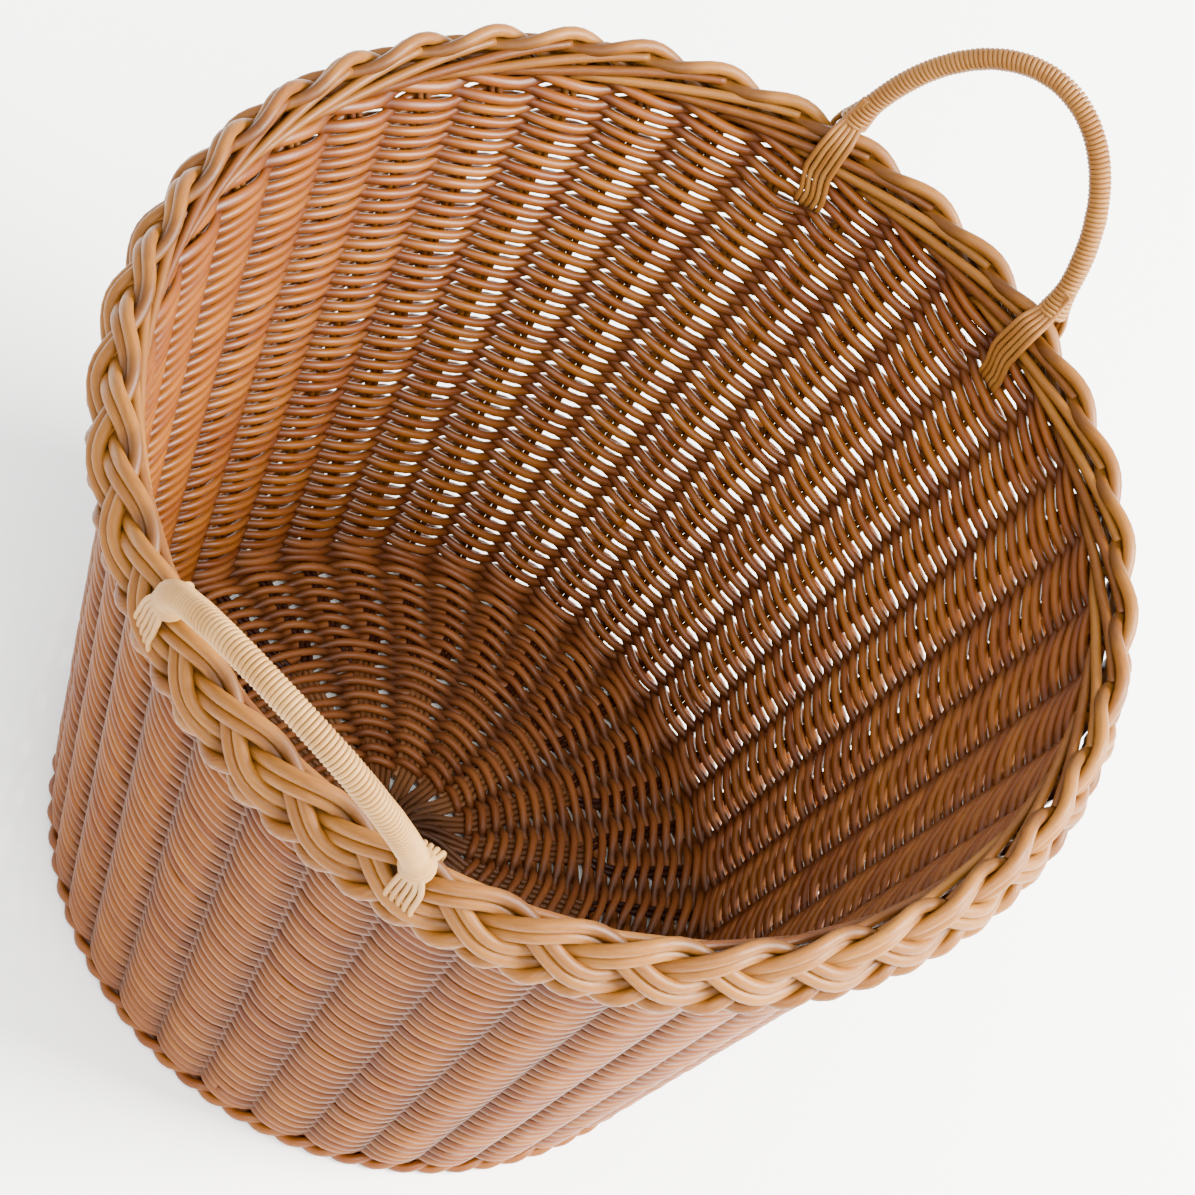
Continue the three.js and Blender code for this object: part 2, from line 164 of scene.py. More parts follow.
def profile_table():
    """Distances along the profile, radius and height at each, and the first stake's turn there."""
    rise = np.array([wall_radius(FOOT_HEIGHT) - FOOT_RADIUS, FOOT_HEIGHT - BASE_MIDDLE])
    rise /= np.linalg.norm(rise)
    corner = np.array([FOOT_RADIUS, BASE_MIDDLE])
    before = np.array([FOOT_RADIUS - STAKE_BEND, BASE_MIDDLE])
    after = corner + STAKE_BEND * rise
    t = np.linspace(0, 1, PROFILE_STEPS)[:, None]
    bend = (1 - t) ** 2 * before + 2 * t * (1 - t) * corner + t ** 2 * after
    top = np.array([wall_radius(PROFILE_TOP), PROFILE_TOP])
    wall = after + (top - after) * np.linspace(PROFILE_FIRST, 1, PROFILE_STEPS)[:, None]
    line = np.vstack([[[0, BASE_MIDDLE]], bend, wall])
    turn = np.where(line[:, 0] < FOOT_RADIUS, foot_turn(line[:, 0]), stake_turn(line[:, 1]))
    return lengths(line), line, turn


ALONG, LINE, TURN = profile_table()


def on_profile(s):
    """Radius, height, tangent, outer normal and first stake's turn at a distance along the profile."""
    r, z = (np.interp(s, ALONG, LINE[:, i]) for i in (0, 1))
    dr, dz = (np.interp(s + SLOPE_OVER, ALONG, LINE[:, i]) - np.interp(s - SLOPE_OVER, ALONG, LINE[:, i])
              for i in (0, 1))
    size = np.hypot(dr, dz)
    tangent = (dr / size, dz / size)
    normal = (tangent[1], -tangent[0])
    return r, z, tangent, normal, np.interp(s, ALONG, TURN)


def at_height(z):
    """Distance along the profile of a height on the wall."""
    wall = LINE[:, 1] > BEND_TOP
    return float(np.interp(z, LINE[wall, 1], ALONG[wall]))


def place(s, theta, out, up):
    """Points off the profile by out along its outer normal and up along it, and the normals there."""
    r, z, tangent, normal, _ = on_profile(s)
    points = around(r + out * normal[0] + up * tangent[0], theta, z + out * normal[1] + up * tangent[1])
    return points, around(normal[0], theta, normal[1])


# Strands

def curve_through(knots, steps):
    """A smooth curve through rows of numbers, with a number of steps between each two."""
    knots = np.asarray(knots, float)
    padded = np.vstack([2 * knots[0] - knots[1], knots, 2 * knots[-1] - knots[-2]])
    rows = []
    for i in range(1, len(padded) - 2):
        p0, p1, p2, p3 = padded[i - 1:i + 3]
        last = i == len(padded) - 3
        for t in np.linspace(0, 1, steps + (1 if last else 0), endpoint=last):
            rows.append(0.5 * (2 * p1 + (p2 - p0) * t + (2 * p0 - 5 * p1 + 4 * p2 - p3) * t ** 2
                               + (3 * p1 - p0 - 3 * p2 + p3) * t ** 3))
    return np.array(rows)


def strand(points, normals, radius, tone, painted_shade=0.0, sides=8, flat=1.0, closed=False):
    """One strand: its middle line, a direction across it, and its radius, tone and painted shade at each
    point. Flat is its thickness along that direction against its width."""
    n = len(points)

    def at_each(value):
        return np.broadcast_to(np.asarray(value, float), (n,)).copy()

    return {"points": np.asarray(points, float), "normals": np.asarray(normals, float),
            "radius": at_each(radius), "tone": at_each(tone), "painted_shade": at_each(painted_shade), "sides": sides,
            "flat": at_each(flat), "closed": closed}


def tangents_of(points, closed=False):
    if closed:
        t = np.roll(points, -1, axis=0) - np.roll(points, 1, axis=0)
    else:
        t = np.gradient(points, axis=0)
    return t / np.linalg.norm(t, axis=1)[:, None]


def across(points, normals, closed=False):
    """Unit vectors across a strand: one near the normals, and one square to both."""
    t = tangents_of(points, closed)
    n = normals - np.sum(normals * t, axis=1)[:, None] * t
    n /= np.linalg.norm(n, axis=1)[:, None]
    return n, np.cross(t, n)


def side_by_side(points, normals, gap, closed=False):
    """Two middle lines beside each other, a distance apart, which may change along them."""
    _, side = across(points, normals, closed)
    half = np.broadcast_to(np.asarray(gap, float) / 2, (len(points),))[:, None]
    return [points + side * half, points - side * half]


# Meshes. A strand's surface has its grain from a random place in the noise, along the strand and round it.

GRAIN_SPREAD = 90
GRAIN_LENGTH = 14                # millimetres of strand for one unit of grain
grain_rng = np.random.default_rng(5)


def surface_of(s):
    """Corners of a strand's surface, ring after ring, and the grain's coordinates there."""
    near, side = across(s["points"], s["normals"], s["closed"])
    angle = 2 * np.pi * np.arange(s["sides"]) / s["sides"]
    ring = (near[:, None, :] * (np.cos(angle)[None, :, None] * s["flat"][:, None, None])
            + side[:, None, :] * np.sin(angle)[None, :, None]) * s["radius"][:, None, None]
    shift = grain_rng.uniform(0, GRAIN_SPREAD, 3)
    grain = np.empty(ring.shape)
    grain[:, :, 0] = np.cos(angle)[None, :] + shift[0]
    grain[:, :, 1] = np.sin(angle)[None, :] + shift[1]
    grain[:, :, 2] = (lengths(s["points"]) / GRAIN_LENGTH)[:, None] + shift[2]
    return (s["points"][:, None, :] + ring).reshape(-1, 3), grain.reshape(-1, 3)


def faces_of(s, first):
    """Faces of a strand, whose corners start at a number: four-sided ones, and one at each open end."""
    n, sides = len(s["points"]), s["sides"]
    i = np.arange(n if s["closed"] else n - 1)[:, None]
    k = np.arange(sides)[None, :]
    here = first + i * sides
    following = first + ((i + 1) % n) * sides
    beside = (k + 1) % sides
    quads = np.stack([here + k, here + beside, following + beside, following + k], axis=2).reshape(-1, 4)
    if s["closed"]:
        return quads, []
    return quads, [(first + np.arange(sides))[::-1], first + (n - 1) * sides + np.arange(sides)]


def build(name, strands, material):
    """One mesh object of closed strands."""
    corners, grain, loops, totals, rounded = [], [], [], [], []
    first = 0
    for s in strands:
        surface, surface_grain = surface_of(s)
        quads, ends = faces_of(s, first)
        corners.append(surface)
        grain.append(surface_grain)
        loops += [quads.reshape(-1), *ends]
        totals += [4] * len(quads) + [s["sides"]] * len(ends)
        rounded += [True] * len(quads) + [False] * len(ends)
        first += len(surface)
    corners = settled(np.concatenate(corners)) * MM
    loops = np.concatenate(loops)
    mesh = bpy.data.meshes.new(name)
    mesh.vertices.add(len(corners))
    mesh.vertices.foreach_set("co", corners.astype(np.float32).ravel())
    mesh.loops.add(len(loops))
    mesh.loops.foreach_set("vertex_index", loops.astype(np.int32))
    mesh.polygons.add(len(totals))
    mesh.polygons.foreach_set("loop_start", np.cumsum([0] + totals[:-1]).astype(np.int32))
    mesh.polygons.foreach_set("loop_total", np.array(totals, np.int32))
    mesh.polygons.foreach_set("use_smooth", np.array(rounded, bool))
    mesh.update(calc_edges=True)
    for key in ("tone", "painted_shade"):
        values = np.concatenate([np.repeat(s[key], s["sides"]) for s in strands])
        mesh.attributes.new(key, "FLOAT", "POINT").data.foreach_set("value", values.astype(np.float32))
    mesh.attributes.new("grain", "FLOAT_VECTOR", "POINT").data.foreach_set(
        "vector", np.concatenate(grain).astype(np.float32).ravel())
    mesh.validate()
    mesh.materials.append(material)
    piece = bpy.data.objects.new(name, mesh)
    bpy.context.scene.collection.objects.link(piece)
    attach(piece, "root")
    return piece


def stands_for(pieces, node):
    """Let pieces take the place of a node of the part, which is hidden."""
    for piece in pieces:
        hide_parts(node)


# Materials: peeled rattan, lighter and darker along the strand and from strand to strand, and with painted
# shade that makes it darkest where a strand lies deep among others

SPECULAR = 0.16
COAT_ROUGHNESS = 0.35
STREAKS = {"scale": 2.6, "detail": 4.0}
FIBRES = {"scale": 9.0, "detail": 2.0}
BLOTCHES = {"scale": 9.0, "detail": 2.0}
NOISE_MIDDLE = 0.5
STREAKS_IN_COLOUR = 0.9
BLOTCHES_IN_COLOUR = 0.5
STREAKS_IN_ROUGHNESS = 0.25
BUMP_STRENGTH = 0.25
BUMP_HEIGHT = 0.0003


def rattan(name, light, dark, low, roughness, coat):
    """Light and dark are the ends of the colour's range, and low is the painted shade's colour, mixed in
    where a strand lies deep.
    """
    material = bpy.data.materials.new(name)
    material.use_nodes = True
    tree = material.node_tree
    tree.nodes.clear()
    node = tree.nodes.new
    link = tree.links.new

    def put(socket, value):
        if isinstance(value, (int, float)):
            socket.default_value = value
        elif isinstance(value, tuple):
            socket.default_value = (*value, 1.0)
        else:
            link(value, socket)

    def attribute(key, output):
        a = node("ShaderNodeAttribute")
        a.attribute_name = key
        return a.outputs[output]

    def noise(vector, scale, detail):
        n = node("ShaderNodeTexNoise")
        put(n.inputs["Scale"], scale)
        put(n.inputs["Detail"], detail)
        put(n.inputs["Vector"], vector)
        return n.outputs["Fac"]

    def arithmetic(kind, a, b):
        m = node("ShaderNodeMath")
        m.operation = kind
        put(m.inputs[0], a)
        put(m.inputs[1], b)
        return m.outputs[0]

    def varied(value, by, amount):
        """A value that a noise raises where it is over its middle, and lowers where it is under it."""
        change = arithmetic("MULTIPLY", arithmetic("SUBTRACT", by, NOISE_MIDDLE), amount)
        return arithmetic("ADD", value, change)

    def mixed(factor, a, b):
        m = node("ShaderNodeMix")
        m.data_type = "RGBA"
        m.clamp_factor = True
        put(m.inputs[0], factor)
        put(m.inputs[6], a)
        put(m.inputs[7], b)
        return m.outputs[2]

    grain = attribute("grain", "Vector")
    streaks = noise(grain, **STREAKS)
    fibres = noise(grain, **FIBRES)
    blotches = noise(node("ShaderNodeTexCoord").outputs["Object"], **BLOTCHES)
    tone = varied(attribute("tone", "Fac"), streaks, STREAKS_IN_COLOUR)
    tone = varied(tone, blotches, BLOTCHES_IN_COLOUR)
    bump = node("ShaderNodeBump")
    put(bump.inputs["Strength"], BUMP_STRENGTH)
    put(bump.inputs["Distance"], BUMP_HEIGHT)
    put(bump.inputs["Height"], arithmetic("ADD", fibres, streaks))
    shader = node("ShaderNodeBsdfPrincipled")
    # Painted shade: the low colour is mixed in by the strands' attribute of painted shade.
    put(shader.inputs["Base Color"], mixed(attribute("painted_shade", "Fac"), mixed(tone, light, dark), low))
    put(shader.inputs["Roughness"], varied(roughness, streaks, STREAKS_IN_ROUGHNESS))
    put(shader.inputs["Normal"], bump.outputs["Normal"])
    put(shader.inputs["Specular IOR Level"], SPECULAR)
    put(shader.inputs["Coat Weight"], coat)
    put(shader.inputs["Coat Roughness"], COAT_ROUGHNESS)
    output = node("ShaderNodeOutputMaterial")
    link(shader.outputs["BSDF"], output.inputs["Surface"])
    return material


WALL = rattan("wall rattan", light=(0.158, 0.048, 0.003), dark=(0.092, 0.020, 0.001), low=(0.024, 0.003, 0.0),
              roughness=0.42, coat=0.12)
BASE = rattan("base rattan", light=(0.165, 0.050, 0.009), dark=(0.098, 0.024, 0.003), low=(0.014, 0.002, 0.0),
              roughness=0.5, coat=0.12)
RODS = rattan("base rod rattan", light=(0.150, 0.060, 0.020), dark=(0.085, 0.027, 0.006),
              low=(0.018, 0.005, 0.001), roughness=0.5, coat=0.12)
BORDER = rattan("border rattan", light=(0.198, 0.077, 0.010), dark=(0.082, 0.022, 0.002),
                low=(0.018, 0.003, 0.0), roughness=0.45, coat=0.04)
HANDLE_CANE = {
    "a": rattan("handle rattan", light=(0.215, 0.094, 0.020), dark=(0.135, 0.046, 0.006),
                low=(0.045, 0.012, 0.001), roughness=0.45, coat=0.04),
    # The near handle's rattan is paler: partly its own paler cane, partly painted light for the brighter
    # light that falls on it.
    "b": rattan("pale handle rattan", light=(0.36, 0.20, 0.065), dark=(0.25, 0.115, 0.026),
                low=(0.10, 0.032, 0.004), roughness=0.45, coat=0.04),
}

# Weave

HIDDEN_TURN = math.radians(-166.4)  # where the weavers start and end, under the near rim and out of sight
PIECE_RODS = 14                  # a weaver is pieced from lengths that pass about this many stakes
PIECE_VARIES = (0.6, 1.4)        # shortest and longest of them, as shares of that
PIECE_TONES = (0.05, 0.95)
JOIN_POINTS = 2                  # to each side of a join, the tone changes over this many points
CLEARANCE = 0.1                  # between a weaver and a rod
ROW_WANDER = 0.22                # how far a row strays from its line, from rod to rod
SLOW_WANDER = 0.25               # and over more rods
SLOW_RODS = 6
STRAND_WANDER = 0.12             # how far a weaver strays from its row, up and down, and in and out
CROSSING_SHADE = 0.75            # painted shade on a weaver where two cross
CROSSING_POWER = 1.3

# Wider eyes beside the handles' lashings: turn from the leg, height, and how far the rows are pushed apart
EYES = ((0.062, 269.5, 1.5), (-0.062, 270.5, 1.2), (0.1, 277.0, 0.9))
EYE_RADIUS = 188.0               # the wall's radius there
EYE_WIDTH = 5.5                  # how far beside an eye the push fades, and how far above and below it
EYE_HEIGHT = 9.0
EYE_EDGE = 2.0                   # how far from its middle the push reaches its strength


def tone_along(count, per_piece, rng):
    """Tone along a weaver that is pieced from many lengths, each of its own colour."""
    pieces = int(count / per_piece) + 3
    values = np.repeat(rng.uniform(*PIECE_TONES, pieces), 2)
    ends = np.cumsum(rng.uniform(*PIECE_VARIES, pieces)) * per_piece
    knots = np.sort(np.concatenate([ends - JOIN_POINTS, ends + JOIN_POINTS]))
    values = values[: len(knots) - 1]
    return np.interp(np.arange(count), knots[: len(values)], values)


def wander(count, step, size, rng):
    """Small smooth wandering with a knot every so many points."""
    knots = np.arange(0, count + 4 * step, step)
    values = rng.normal(0, size, len(knots))
    x = np.arange(count)
    i = np.minimum((x / step).astype(int), len(knots) - 2)
    f = smooth(x / step - i)
    return values[i] * (1 - f) + values[i + 1] * f


def leg_turn(handle, way):
    """Turn of a handle's left leg, way 1, or its right leg, way -1."""
    return handle["turn"] + way * math.asin(handle["span"] / 2 / LEG_RADIUS)


def eyes(theta, z):
    """How far the rows are pushed apart beside the handles' lashings, which leaves larger holes there."""
    push = np.zeros_like(theta)
    for handle in HANDLES.values():
        for way in (1, -1):
            for beside, height, size in EYES:
                turn = np.angle(np.exp(1j * (theta - leg_turn(handle, way) - beside)))
                near = np.exp(-(turn * EYE_RADIUS / EYE_WIDTH) ** 2 - ((z - height) / EYE_HEIGHT) ** 2)
                push += size * near * np.tanh((z - height) / EYE_EDGE)
    return push


def pair_weave(start, end, row, rods, weaver, rod, seed, steps=8, square=1.1, first_turn=None, fuller=0.0,
               swell=0.0):
    """Two strands that wind round the basket from start to end along the profile. At each rod one passes
    outside it and one inside, and they cross over between the rods. Weaver and rod are thicknesses, and
    square is how sharply a weaver bends round a rod. Fuller and swell are the shares by which a weaver is
    thicker at the top of the wall, and outside the rods."""
    rng = np.random.default_rng(seed)
    turns = round((end - start) / row)
    row = (end - start) / turns
    n = turns * rods * steps + 1
    f = np.linspace(0, 1, n)
    s = start + (end - start) * f
    theta = HIDDEN_TURN + 2 * math.pi * turns * f
    turn = on_profile(s)[4] if first_turn is None else first_turn
    phase = rods / 2 * (theta - turn)
    sway = wander(n, steps, ROW_WANDER, rng) + wander(n, steps * SLOW_RODS, SLOW_WANDER, rng)
    strands = []
    for lag in (0, math.pi):
        c = np.cos(phase + lag)
        swelling = swell * smooth(c)
        reach = (weaver + rod) / 2 + CLEARANCE + wander(n, steps, STRAND_WANDER, rng)
        out = reach * (np.tanh(square * c) / math.tanh(square)) - weaver / 2 * swelling
        up = -row / 4 * np.sin(phase + lag) + sway + wander(n, steps, STRAND_WANDER, rng)
        up += eyes(theta, on_profile(s)[1] + up)
        points, normals = place(s, theta, out, up)
        growth = fuller * smooth((points[:, 2] - FULLER_FROM) / FULLER_OVER)
        tone = tone_along(n, steps * PIECE_RODS, rng)
        # Painted shade where the two weavers cross between the rods.
        painted_shade = CROSSING_SHADE * (1 - np.abs(c)) ** CROSSING_POWER
        strands.append((points, normals, weaver / 2 * (1 + growth + swelling), tone, painted_shade))
    return strands


def bands(name, strands, material, count):
    """The strands cut into a number of mesh objects, end to end."""
    n = len(strands[0][0])
    made = []
    for i in range(count):
        first = n * i // count
        last = min(n * (i + 1) // count + 1, n)
        parts = [strand(*(values[first:last] for values in values_along)) for values_along in strands]
        made.append(build(f"{name}_{i + 1}" if count > 1 else name, parts, material))
    return made


# Where each weave starts and ends along the profile

HUB_EDGE = 33.5
SPLIT = 98.2
BASE_END = 130.6
WALL_START = at_height(17.3)
WALL_END = at_height(WALE_BOTTOM)
WALE_END = at_height(291.4)

inner_base = pair_weave(HUB_EDGE, SPLIT, BASE_ROW, GROUPS, BASE_WEAVER, ROD - BASE_PACKING, seed=11, steps=12,
                        square=1.6, first_turn=GROUP_TURN, swell=BASE_SWELL)
stands_for(bands("inner_base_weave", inner_base, BASE, 1), "base_weave_inner")
outer_base = pair_weave(SPLIT, BASE_END, BASE_ROW, STAKES, BASE_WEAVER, ROD - BASE_PACKING, seed=12,
                        swell=BASE_SWELL)
stands_for(bands("outer_base_weave", outer_base, BASE, 1), "base_weave_outer")
wall = pair_weave(WALL_START, WALL_END, ROW, STAKES, WEAVER, STAKE_ROD, seed=13, fuller=FULLER)
stands_for(bands("wall_weave_band", wall, WALL, 4), "wall_weave")
wale = pair_weave(WALL_END, WALE_END, WALE_ROW, STAKES, WALE_STRAND, STAKE_ROD, seed=14)
stands_for(bands("top_rows", wale, WALL, 1), "top_wale")
foot = pair_weave(BASE_END, WALL_START, FOOT_ROW, STAKES, WEAVER, ROD, seed=15)
stands_for(bands("foot_rows", foot, BASE, 1), "foot_wale")

# Ropes of two strands, twisted once for each stake: one that the basket stands on, one under the border

FOOT_ROPE = {"radius": 146.3, "height": 3.9, "twist": 1.7, "thickness": 4.2}
BORDER_ROPE = {"radius": 202.2, "height": 283.6, "twist": 3.0, "thickness": 5.6}
ROPE_STEPS = 24                  # for each stake
ROPE_CHANGES = 24                # changes of tone in a rope
ROPE_TONES = (0.2, 0.9)
ROPE_SHADE = 0.8                 # painted shade on a strand where it faces the wall
ROPE_DARK_FROM = 0.1             # where that begins, and over how much, in shares of the twist
ROPE_DARK_OVER = 0.6


def rope(name, size, seed, material):
    """A rope of a size, in which twist is the distance from the rope's middle to a strand's."""
    rng = np.random.default_rng(seed)
    n = STAKES * ROPE_STEPS
    theta = 2 * math.pi * np.arange(n) / n
    strands = []
    for lag in (0, math.pi):
        out = np.cos(STAKES * theta + lag)
        up = np.sin(STAKES * theta + lag)
        points = around(size["radius"] + size["twist"] * out, theta, size["height"] + size["twist"] * up)
        normals = around(out, theta, up)
        changes = rng.uniform(*ROPE_TONES, ROPE_CHANGES)
        tone = np.interp(np.arange(n), np.linspace(0, n, ROPE_CHANGES), changes)
        # Painted shade on the side of each strand that faces the wall.
        painted_shade = ROPE_SHADE * smooth((-out - ROPE_DARK_FROM) / ROPE_DARK_OVER)
        strands.append(strand(points, normals, size["thickness"] / 2, tone, painted_shade, closed=True))
    return build(name, strands, material)


stands_for([rope("foot_rope", FOOT_ROPE, 21, WALL)], "foot_wale")
stands_for([rope("border_rope", BORDER_ROPE, 22, BORDER)], "border_braid")

# Base rods: three of each group come out of the swirl in the middle, and the fourth from under the first row

HUB = 31.0                       # radius of the swirl
SWIRL_CORE = 14.0                # it is full up to here and then fades
SWIRL_FADES_OVER = HUB - 10
PAST_MIDDLE = 7.0                # how far its rods pass the middle
SWIRL_ASIDE = 4.2                # how far beside it
SWIRL_TILT = math.radians(27)    # each group lies tilted there, and so over the next
SWIRL_RISE = 0.14                # and climbs towards the middle
SWIRL_PACKING = 0.98             # from rod to rod there, in thicknesses
FANS_FROM = 2.0                  # this far inside the swirl's edge the rods begin to spread out
FANS_OVER = 10.0
SPREAD_FROM = 84.0               # a group splits into two pairs from here
SPREAD_TO = 107.0                # to here
RODS_END = 88.4                  # here a stake's own rods take over from its group's
IN_SWIRL = (-PAST_MIDDLE, 35.0, 22)  # stretches of a rod, with their numbers of points
IN_WEAVE = (38.0, RODS_END, 22)
SHORT_ROD = (HUB + 1, RODS_END, 26)
RODS_IN_GROUP = 4
ROD_SHADE = 0.2                  # painted shade on the rods under the weave, and how much more is painted in the swirl
SWIRL_SHADE = 0.55
GROUP_TONES = (0.1, 0.9)
ROD_TONE_VARIES = 0.15
rod_rng = np.random.default_rng(31)


def group_turn(g):
    return GROUP_TURN - 2 * g * PITCH


def pair_offset(r):
    """Distance from a group's middle line to the middle of each of its two pairs."""
    apart = r * math.sin(PITCH / 2)
    return ROD + (apart - ROD) * smooth((r - SPREAD_FROM) / (SPREAD_TO - SPREAD_FROM))


def base_rod(g, i, tone):
    """Rod i of group g, counted across it."""
    out, round_it = outward_and_round(group_turn(g))
    if i == RODS_IN_GROUP - 1:
        d = np.linspace(*SHORT_ROD)
    else:
        d = np.concatenate([np.linspace(*IN_SWIRL), np.linspace(*IN_WEAVE)])
    swirl = 1 - smooth((d - SWIRL_CORE) / SWIRL_FADES_OVER)
    bunched = (i - 1.0) * (ROD * SWIRL_PACKING)
    spread = (i - 1.5) * ROD
    side = bunched + (spread - bunched) * smooth((d - HUB + FANS_FROM) / FANS_OVER)
    pair = -1 if i < 2 else 1
    in_pair = (i % 2 - 0.5) * ROD
    side = side + (pair * pair_offset(d) + in_pair - spread) * (d > SPREAD_FROM)
    points = d[:, None] * out + (side + SWIRL_ASIDE * swirl)[:, None] * round_it
    lift = SWIRL_RISE * np.clip(HUB - d, 0, None)
    points[:, 2] = BASE_MIDDLE + lift + side * (math.tan(SWIRL_TILT) * swirl)
    normals = np.tile([0.0, 0.0, 1.0], (len(d), 1))
    # Painted shade on the rod, more of it in the swirl.
    return strand(points, normals, ROD / 2, tone, SWIRL_SHADE * swirl + ROD_SHADE)


base_rods = []
for g in range(GROUPS):
    group_tone = rod_rng.uniform(*GROUP_TONES)
    for i in range(RODS_IN_GROUP):
        tone = np.clip(group_tone + rod_rng.normal(0, ROD_TONE_VARIES), 0, 1)
        base_rods.append(base_rod(g, i, tone))
stands_for([build("base_rods", base_rods, RODS)], "base_spokes")

# Stakes: two rods side by side. Above the last row one bends off inside the border and the other outside it.

END_FROM = 286.0                 # the height where their ends begin
END_STEPS = 5                    # between the knots of an end
END_STRAYS = 0.2                 # how far the ends' heights stray
STAKE_GAP = 0.1                  # between a stake's two rods
THICKER_FROM = 140.0             # along the profile, where the base's rods pass into the stakes' thickness
THICKER_OVER = 30.0
STAKE_TONE_VARIES = 0.1
DARK_BELOW = 12.0                # the rods' painted shade is fullest below this height, under the weave, and less on the wall
DARK_FADES_OVER = 30.0
END_FADES_OVER = 5.0             # and less again where their ends begin, in the border
PALER = 0.4                      # each time by this much

# Stretches of a stake along the profile, with their numbers of points: in the base, round the foot, and up
# the wall
STRETCHES = ((RODS_END, 132.0, 22), (134.0, 152.0, 14), (158.0, at_height(END_FROM), 30))

# Knots of the ends: turn in stake pitches, distance out from the wall's middle, height, radius, and 1 where
# the height strays from stake to stake
INNER_END = [(-0.05, -0.4, 289.6, 1.5, 0), (-0.2, -2.2, 292.4, 1.7, 1), (-0.55, -4.0, 294.6, 2.0, 1),
             (-1.0, -4.4, 296.6, 2.1, 0), (-1.5, -4.0, 298.8, 2.1, 1), (-2.0, -2.6, 301.0, 2.1, 0),
             (-2.5, -0.4, 302.6, 2.0, 0), (-2.9, 2.2, 303.0, 1.9, 0)]
OUTER_END = [(-0.05, 0.8, 289.4, 1.5, 0), (-0.12, 2.0, 292.6, 1.6, 0), (-0.2, 3.4, 295.6, 1.7, 0),
             (-0.35, 4.6, 298.0, 1.7, 0)]
stake_rng = np.random.default_rng(41)


def stake_line(j):
    """Distances along stake j up to its ends, and its points, normals and rods' thickness there."""
    s = np.concatenate([np.linspace(*stretch) for stretch in STRETCHES])
    r, _, _, _, turn = on_profile(s)
    pair = 1 if j % 2 == 0 else -1
    in_group = group_turn(j // 2) + pair * np.arcsin(np.clip(pair_offset(r) / r, -1, 1))
    split = smooth((r - SPREAD_FROM) / (SPREAD_TO - SPREAD_FROM))
    theta = in_group * (1 - split) + (turn - j * PITCH) * split
    points, normals = place(s, theta, 0, 0)
    thickness = ROD + (STAKE_ROD - ROD) * smooth((s - THICKER_FROM) / THICKER_OVER)
    return s, points, normals, thickness


def stake_end(knots, j, jog, line):
    """Points and radii of one rod's end, which goes on from the last two points of its line."""
    turn, out, height, radius, strays = np.array(knots).T
    height = height + strays * jog
    theta = stake_turn(END_FROM) - j * PITCH + turn * PITCH
    tail = around(wall_radius(height) + out, theta, height)
    radii = np.concatenate([[STAKE_ROD / 2, STAKE_ROD / 2], radius])
    return curve_through(np.column_stack([np.vstack([line[-2:], tail]), radii]), END_STEPS)


def stake(j):
    """Stake j, as one object of two rods with their ends."""
    s, points, normals, thickness = stake_line(j)
    stake_tone = stake_rng.uniform(0, 1)
    parts = []
    for knots, line in zip((INNER_END, OUTER_END), side_by_side(points, normals, thickness + STAKE_GAP)):
        end = stake_end(knots, j, stake_rng.normal(0, END_STRAYS), line)
        whole = np.vstack([line[:-2], end[:, :3]])
        radius = np.concatenate([thickness[:-2] / 2, end[:, 3]])
        _, _, _, normal, _ = on_profile(np.concatenate([s[:-2], np.full(len(end), s[-1])]))
        out = around(normal[0], np.arctan2(whole[:, 1], whole[:, 0]), normal[1])
        tone = np.clip(stake_tone + stake_rng.normal(0, STAKE_TONE_VARIES), 0, 1)
        # Painted shade on the rods: fullest low down under the weave, less up the wall and less again in the
        # border.
        up_wall = smooth((whole[:, 2] - DARK_BELOW) / DARK_FADES_OVER)
        in_border = smooth((whole[:, 2] - END_FROM) / END_FADES_OVER)
        parts.append(strand(whole, out, radius, tone, 1 - PALER * up_wall - PALER * in_border))
    return build(f"stake_{j + 1:02d}_rods", parts, BORDER)


for j in range(STAKES):
    stands_for([stake(j)], f"stake_{j + 1:02d}")

# Border: a plait of three strands, each of two rods, that crosses once for each stake. It faces out and up.

PLAIT_RADIUS = 199.4
PLAIT_HEIGHT = 297.0
PLAIT_SLOPE = math.radians(70)   # its outer edge lies lower than the inner one
PLAIT_WIDE = 8.9                 # from its middle to a strand's middle at the edge
PLAIT_DEEP = 3.0                 # the same through its thickness, where strands cross
PLAIT_STRANDS = 3                # one line goes round this many times and makes them all
PLAIT_STEPS = 26                 # for each stake
PLAIT_PRESSED = 0.97             # distance between a strand's two rods, in thicknesses
PLAIT_SHADE = 0.6                # painted shade on a strand where it lies under another
PLAIT_TONE = 0.35                # a rod's tone, how much it changes, and after how many steps
PLAIT_TONE_CHANGE = 0.3
PLAIT_TONE_STEPS = 60
PLAIT_TONES = 50                 # drawn for each rod, and the first of them are used


def off_plait(wide, through):
    """Distance out and up for a place given across the plait's face and through it."""
    c, s = math.cos(PLAIT_SLOPE), math.sin(PLAIT_SLOPE)
    return wide * c + through * s, through * c - wide * s


